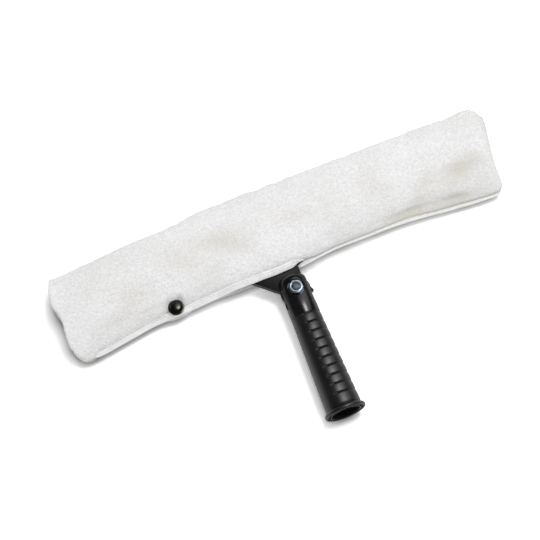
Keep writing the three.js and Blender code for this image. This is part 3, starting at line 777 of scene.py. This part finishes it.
# Painted shade: the mask darkens the colour towards a beige in the dimples and beside the hems
shade_mask_node = add_node(plush, "ShaderNodeAttribute", attribute_name="dent_and_shade")
depth = add_node(plush, "ShaderNodeMapRange", {0: shade_mask_node.outputs["Fac"], "From Max": 4.0, "To Max": 0.8})
shade_tinted = add_node(
    plush, "ShaderNodeMix", {0: depth.outputs["Result"], 6: fresh, 7: linear("#CFCABB")}, data_type="RGBA",
)
feed(plush, shade_tinted.outputs[2], "Base Color")
nap = add_node(plush, "ShaderNodeBump", {"Height": speckle.outputs[0], "Distance": mm(1.9), "Strength": 1.0})
feed(plush, nap.outputs["Normal"], "Normal")

# The knitted backing of the plush, seen inside the sleeve: off-white, with painted shade where the cloth lies
# close: ambient occlusion darkens its colour towards near-black.
# A wave of scale 1 repeats about every 0.31 m. The courses are drawn 2.4 mm apart, coarser than real ones.
backing = new_material("knitted_backing", 0.9, Sheen_Weight=0.1, Specular_IOR_Level=0.1)
place = add_node(backing, "ShaderNodeAttribute", attribute_name="flat_place").outputs["Vector"]
course = add_node(backing, "ShaderNodeTexWave", {"Vector": place, "Scale": 0.31 / mm(2.4)})
knitted = two_tone(backing, course.outputs["Fac"], "#D9D8D1", "#E6E5DF", low=0.2, high=0.8)
closeness = add_node(backing, "ShaderNodeAmbientOcclusion", {"Distance": mm(16)})
light_share = add_node(backing, "ShaderNodeMath", {0: closeness.outputs["AO"], 1: 1.6}, operation="POWER")
shaded = add_node(
    backing, "ShaderNodeMix", {0: light_share.outputs[0], 6: linear("#11100E"), 7: knitted}, data_type="RGBA",
)
feed(backing, shaded.outputs[2], "Base Color")
knit = add_node(
    backing, "ShaderNodeBump", {"Height": course.outputs["Fac"], "Distance": mm(0.3), "Strength": 0.5},
)
feed(backing, knit.outputs["Normal"], "Normal")

flap = layer("plush_flap", front_layer)
sleeve = layer("plush_sleeve", [not front for front in front_layer])
root, tip = from_bolt((*cut_root, 0)), from_bolt((*cut_tip, 0))
fold_along = Vector(tip - root).normalized()
fold_across = Vector((-fold_along.y, fold_along.x, 0))       # square to the fold, towards the flap
kept_front = flap.copy()
kept_front.data = flap.data.copy()
bpy.context.scene.collection.objects.link(kept_front)
for half, is_flap in ((flap, True), (kept_front, False)):
    edit_all(half)
    bpy.ops.mesh.bisect(
        plane_co=Vector(root), plane_no=fold_across, use_fill=True,
        clear_inner=is_flap, clear_outer=not is_flap,
    )
    bpy.ops.object.mode_set(mode="OBJECT")
only(sleeve, kept_front)
bpy.ops.object.join()
for half in (sleeve, flap):
    edit_all(half)
    bpy.ops.mesh.remove_doubles(threshold=mm(0.02))
    bpy.ops.object.mode_set(mode="OBJECT")
    smooth(half, 65)

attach(sleeve, "sleeved_bar")
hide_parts("sleeve_cloth")
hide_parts("sleeve_flap")
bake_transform(flap)


# Hems: a white cotton tape is folded over each raw edge of the slit and sewn with one line of stitches. Both
# tapes run from the open end to where the slit is sewn up, past the web. The front one is sewn along the
# front layer's edge, the flap's included. Sections are in d, inwards from the near edge, and h, up or down
# from the slit.
front_section = (
    (4.7, 3.2), (4.6, 4.2), (4.1, 4.7), (3.5, 4.6), (3.2, 4.1), (2.95, 3.4), (2.7, 4.0), (2.3, 4.2),
    (1.7, 3.8), (1.4, 2.9), (1.1, 3.1), (0.5, 2.6), (0.0, 1.9), (-0.2, 1.2), (0.1, 0.6), (1.0, 0.4),
    (2.8, 0.4), (4.6, 0.4), (4.6, 1.2), (2.8, 1.4), (1.8, 1.9), (2.6, 2.9), (3.8, 3.3),
)
back_section = (
    (4.6, 2.6), (3.9, 3.0), (3.0, 2.9), (1.9, 2.3), (1.0, 1.5), (0.7, 0.9), (0.9, 0.3), (1.6, 0.15),
    (2.8, 0.15), (4.4, 0.15), (4.4, 0.8), (2.8, 0.9), (2.2, 1.2), (2.9, 1.8), (4.2, 2.0),
)
stitch_pitch, stitch_half, thread_radius, ring_sides = 3.4, 1.25, 0.34, 6


def along_edge(x, d, h, side, half_gap):
    """Places beside the near edge: d inwards from it, h up (or down, side -1) from the slit."""
    x = np.asarray(x, dtype=float)
    gape = slit_half(x) if half_gap is None else half_gap
    share = np.clip(d / (far_edge(x) - near_edge(x)), 0, 1)
    y = near_edge(x) + d
    z = edge_height(x) + side * (gape + h)
    return np.stack(np.broadcast_arrays(x + end_shift(x, share), y, z), axis=-1)


def rise_at_snap(x, z):
    """How far the front hem rises beside the snap, towards its cap."""
    return (1 - ease(np.abs(x - cap_x), 4, 12)) * np.maximum(cap_z - 0.35 - z, 0) * 0.85


def tube_faces(first, rings, sides):
    """The faces of a closed tube whose points start at this number, ring by ring."""
    tube = []
    for i in range(rings - 1):
        here, beyond = first + i * sides, first + (i + 1) * sides
        for j in range(sides):
            k = (j + 1) % sides
            tube.append((here + j, beyond + j, beyond + k, here + k))
    last = first + (rings - 1) * sides
    return tube + [tuple(range(first, first + sides)), tuple(range(last, last + sides))[::-1]]


def sewn_tape(name, section, stitch_at, start, stop, side, seed, half_gap=None, run_in=16):
    """A tape swept along the near edge, with its stitches. It swells to its section over its run-in."""
    xs = np.arange(start, stop, 1.3)
    line = np.stack([xs, 0 * xs, 0 * xs], axis=-1)
    wave, ripple = lumps(line, 13, seed)[:, None], lumps(line, 3.4, seed + 1)[:, None]
    d, h = np.array(section).T[:, None, :]
    along = xs[:, None] + 0 * d
    outside = np.clip(h / 2, 0, 1)
    taper = np.minimum(np.minimum((xs - start) / run_in, (xs[-1] - xs) / 7), 1)[:, None]
    taper = np.sqrt(np.clip(1 - (1 - taper) ** 2, 0.02, 1))
    d_mid, h_mid = d.mean(), h.mean()
    d, h = d_mid + (d - d_mid) * taper, h_mid + (h - h_mid) * taper
    near_snap = 1 - ease(np.abs(along - cap_x), 4, 12)
    d = d + 0.35 * wave - (0.7 if side > 0 else 1.6) * near_snap
    if half_gap is None:                                     # past the web the hems draw back to the binding
        d = d + (2.5 if side > 0 else -0.2) * ease(along, 4, 12)
    tape_grid = along_edge(along, d, h + outside * (0.3 * wave + 0.22 * ripple), side, half_gap)
    if side > 0:
        tape_grid[..., 2] += outside * rise_at_snap(along, tape_grid[..., 2])
    tape_grid[..., 2] = np.maximum(tape_grid[..., 2], 0.15)
    places = [tape_grid.reshape(-1, 3)]
    total = len(places[0])
    tape_faces = tube_faces(0, len(xs), len(section))
    marks = [0] * len(tape_faces)

    turns = [math.tau * k / ring_sides for k in range(ring_sides)]
    shares = (-1, -0.6, 0, 0.6, 1)
    for middle in np.arange(start + 2.5, stop - 1.5, stitch_pitch):
        for t in shares:
            arch = stitch_at[1] + 0.3 * (1 - t * t) - 0.16
            at = along_edge(middle + stitch_half * t, stitch_at[0], arch, side, half_gap)
            if side > 0:
                at[2] += rise_at_snap(middle, at[2])
            thick = thread_radius * math.sqrt(1 - 0.8 * t * t)
            places.append(np.array([at + [0, thick * math.cos(a), thick * math.sin(a)] for a in turns]))
        tape_faces += tube_faces(total, len(shares), ring_sides)
        total += len(shares) * ring_sides
    marks += [1] * (len(tape_faces) - len(marks))
    piece = cloth_piece(name, np.concatenate(places), tape_faces, (tape, thread), marks)
    edit_all(piece)
    bpy.ops.mesh.normals_make_consistent(inside=False)
    bpy.ops.object.mode_set(mode="OBJECT")
    smooth(piece, 70)
    return piece


# Woven cotton tape is matt and off-white. Its plain weave is drawn coarser than the real one: the pattern
# repeats every 1.6 mm.
tape = new_material("woven_cotton_tape", 0.92, Sheen_Weight=0.15, Specular_IOR_Level=0.12)
place = add_node(tape, "ShaderNodeAttribute", attribute_name="flat_place").outputs["Vector"]
threads = {"Vector": place, "Scale": 0.314 / mm(1.6)}
warp = add_node(tape, "ShaderNodeTexWave", threads, bands_direction="X")
weft = add_node(tape, "ShaderNodeTexWave", threads, bands_direction="Y")
weave = add_node(tape, "ShaderNodeMix", {0: 0.5, 2: warp.outputs["Fac"], 3: weft.outputs["Fac"]})
blotch = add_node(tape, "ShaderNodeTexNoise", {"Vector": place, "Scale": 1 / mm(5)})
two_tone(tape, blotch.outputs["Fac"], "#E6E6E5", "#F1F1F1")
raised = add_node(tape, "ShaderNodeBump", {"Height": weave.outputs[0], "Distance": mm(0.35), "Strength": 0.7})
feed(tape, raised.outputs["Normal"], "Normal")

# Twisted white polyester thread, a little glossier than the tape
thread = mottled("twisted_polyester_thread", "#E6E6E3", "#F3F3F2", 2, 0.6, dent=0.05)

hem_start = 6.5 - sleeve_left
front_hem = sewn_tape("front_hem", front_section, (2.95, 4.15), hem_start, 18.5, 1, 21)
back_hem = sewn_tape("back_hem", back_section, (2.9, 2.9), hem_start, 17.6, -1, 31)
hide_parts("slit_tape_front", "slit_tape_root")
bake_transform(front_hem)
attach(back_hem, "sleeved_bar")
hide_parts("slit_tape_back")


# Binding: the sewn half of the near edge is closed with the same cotton tape, folded round both layers in
# one and sewn through. It starts under the end of the hems.
binding_section = (
    (-0.9, 0.0), (-0.75, 0.5), (-0.3, 0.95), (0.2, 1.05), (0.7, 0.9), (1.0, 0.5), (2.4, 0.3), (2.4, -0.3),
    (1.0, -0.6), (0.8, -1.1), (0.2, -1.2), (-0.3, -1.0), (-0.75, -0.5),
)
edge_tape = sewn_tape(
    "edge_tape", binding_section, (0.3, 1.1), slit_end - 7, sleeve_right - 4.5, 1, 41, half_gap=0, run_in=4,
)
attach(edge_tape, "sleeved_bar")
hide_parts("edge_binding")


# Snap: four pressings of oxidised brass. The domed cap and its socket grip the flap between them, and the
# stud and the post grip the back layer. The cap's rim is rolled, so it catches one thin line of light.
cap_low, cap_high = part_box("snap_cap")
cap_middle = (cap_low + cap_high) / 2
cap_rise = mm(0.6)                           # from the top of the CAD cap to the foot of the dome
hidden_width = 0.75                          # the other pressings' width, as a share of their solids'

# Half of the cap's section, from the foot of its post to the top of its dome: radius and height
cap_profile = (
    (0, -6.8), (1.5, -6.8), (1.5, 0.15), (4.9, 0.15), (5.6, 0), (6.1, 0.12), (6.25, 0.45), (6.12, 0.8),
    (5.8, 0.92), (5.45, 0.85), (5.1, 0.95), (4.6, 1.4), (4.0, 1.85), (3.1, 2.25), (1.7, 2.5), (0, 2.6),
)

# Oxidised brass is a dark brown metal, polished enough to mirror the studio
gunmetal = mottled("oxidised_brass", "#2E2D2A", "#45433E", 2.2, 0.24, dent=0.02, metallic=1.0)

cap_mesh = bpy.data.meshes.new("snap_cap_dome")
profile_edges = [(i, i + 1) for i in range(len(cap_profile) - 1)]
cap_mesh.from_pydata([(mm(radius), 0, mm(height)) for radius, height in cap_profile], profile_edges, [])
cap = bpy.data.objects.new("snap_cap_dome", cap_mesh)
bpy.context.scene.collection.objects.link(cap)
edit_all(cap)
bpy.ops.mesh.spin(steps=64, angle=math.tau, center=(0, 0, 0), axis=(0, 0, 1))
bpy.ops.mesh.select_all(action="SELECT")
bpy.ops.mesh.remove_doubles(threshold=mm(0.01))
bpy.ops.mesh.normals_make_consistent(inside=False)
bpy.ops.object.mode_set(mode="OBJECT")
smooth(cap, 40)
set_in_place(cap, 0, Vector((cap_middle.x, cap_middle.y, cap_high.z + cap_rise)))
finished(cap, gunmetal, "flap", "snap_cap")

for node, body in (("snap_socket", "flap"), ("snap_stud", "sleeved_bar"), ("snap_post", "sleeved_bar")):
    pressing = merged_copy(node, node + "_pressing")
    soften(pressing, 0.25)
    edit_all(pressing)
    bpy.ops.transform.resize(value=(hidden_width, hidden_width, 1), center_override=cap_middle)
    bpy.ops.object.mode_set(mode="OBJECT")
    finished(pressing, gunmetal, body, node)


# Camera: high over the handle's side, a little to its left, as in the photograph. The bolt's middle lies at
# one pixel of the frame, and the frame's width fits the length of the sleeve.
scene = bpy.context.scene
azimuth, elevation = math.radians(-23.5), math.radians(70.5)
view_back = Vector((
    math.sin(azimuth) * math.cos(elevation), -math.cos(azimuth) * math.cos(elevation), math.sin(elevation),
))
view_right = Vector((math.cos(azimuth), math.sin(azimuth), 0))
view_up = view_back.cross(view_right)
view_width, view_distance, frame_side, sensor = 0.413, 1.35, 540, 36
pixel = view_width / frame_side
bolt_pixel = (295.7, 291.7)
target = pivot - view_right * (bolt_pixel[0] - frame_side / 2) * pixel
target += view_up * (bolt_pixel[1] - frame_side / 2) * pixel
camera = bpy.data.objects.new("camera", bpy.data.cameras.new("camera"))
scene.collection.objects.link(camera)
camera.data.sensor_width = sensor
camera.data.lens = sensor * view_distance / view_width
camera.location = target + view_back * view_distance
camera.rotation_mode = "QUATERNION"
camera.rotation_quaternion = (-view_back).to_track_quat("-Z", "Y")
scene.camera = camera

# Studio: the world is an even soft light. Glossy surfaces see a dim room with one bright softbox in it, and
# the camera sees white.
softbox_way = Vector((0.505, 0.306, 0.806))
world = bpy.data.worlds.new("studio")
scene.world = world
world.use_nodes = True
ambient = world.node_tree.nodes["Background"]
ambient.inputs["Color"].default_value = (1, 1, 1, 1)
rays = add_node(world, "ShaderNodeLightPath")
around = add_node(world, "ShaderNodeTexCoord")
facing = add_node(
    world, "ShaderNodeVectorMath", {0: around.outputs["Generated"], 1: softbox_way}, operation="DOT_PRODUCT",
)
softbox = add_node(
    world, "ShaderNodeMapRange",
    {0: facing.outputs["Value"], "From Min": 0.85, "From Max": 0.98, "To Min": 0.09, "To Max": 2.0},
    interpolation_type="SMOOTHSTEP",
)
lit = add_node(
    world, "ShaderNodeMix", {0: rays.outputs["Is Glossy Ray"], 2: 0.74, 3: softbox.outputs["Result"]},
)
seen = add_node(world, "ShaderNodeMix", {0: rays.outputs["Is Camera Ray"], 2: lit.outputs[0], 3: 1.0})
world.node_tree.links.new(seen.outputs[0], ambient.inputs["Strength"])

# Key light: one round soft lamp, high over the closed end, aimed at the middle of the tool
bpy.ops.object.light_add(type="AREA", location=(0.36, 0.16, 1.45))
key = bpy.context.object
key.name = "key_light"
key.data.shape = "DISK"
key.data.size = 0.45
key.data.energy = 9.1
key.rotation_mode = "QUATERNION"
key.rotation_quaternion = (Vector((0, 0.03, 0)) - key.location).to_track_quat("-Z", "Y")

# Floor: white paper. To the camera it is bright enough to clip to white, apart from where the tool keeps the
# light off it, in its cast shadow, and in the last millimetres under its edges, where ambient occlusion
# paints a contact shadow into its colour.
bpy.ops.mesh.primitive_plane_add(size=6, location=(0, 0, -0.0003))
floor = bpy.context.object
floor.name = "paper_floor"
paper = new_material("white_paper", 0.9, Specular_IOR_Level=0.1)
floor_rays = add_node(paper, "ShaderNodeLightPath")
contact = add_node(paper, "ShaderNodeAmbientOcclusion", {"Distance": mm(8)})
painted_contact_shadow = add_node(paper, "ShaderNodeMath", {0: contact.outputs["AO"], 1: 1.8}, operation="POWER")
exposed = add_node(paper, "ShaderNodeMath", {0: painted_contact_shadow.outputs[0], 1: 1.55}, operation="MULTIPLY")
paper_with_painted_shadow = add_node(
    paper, "ShaderNodeMix", {0: floor_rays.outputs["Is Camera Ray"], 2: 0.93, 3: exposed.outputs[0]},
)
feed(paper, paper_with_painted_shadow.outputs[0], "Base Color")
floor.data.materials.append(paper)

scene.view_settings.view_transform = "Standard"
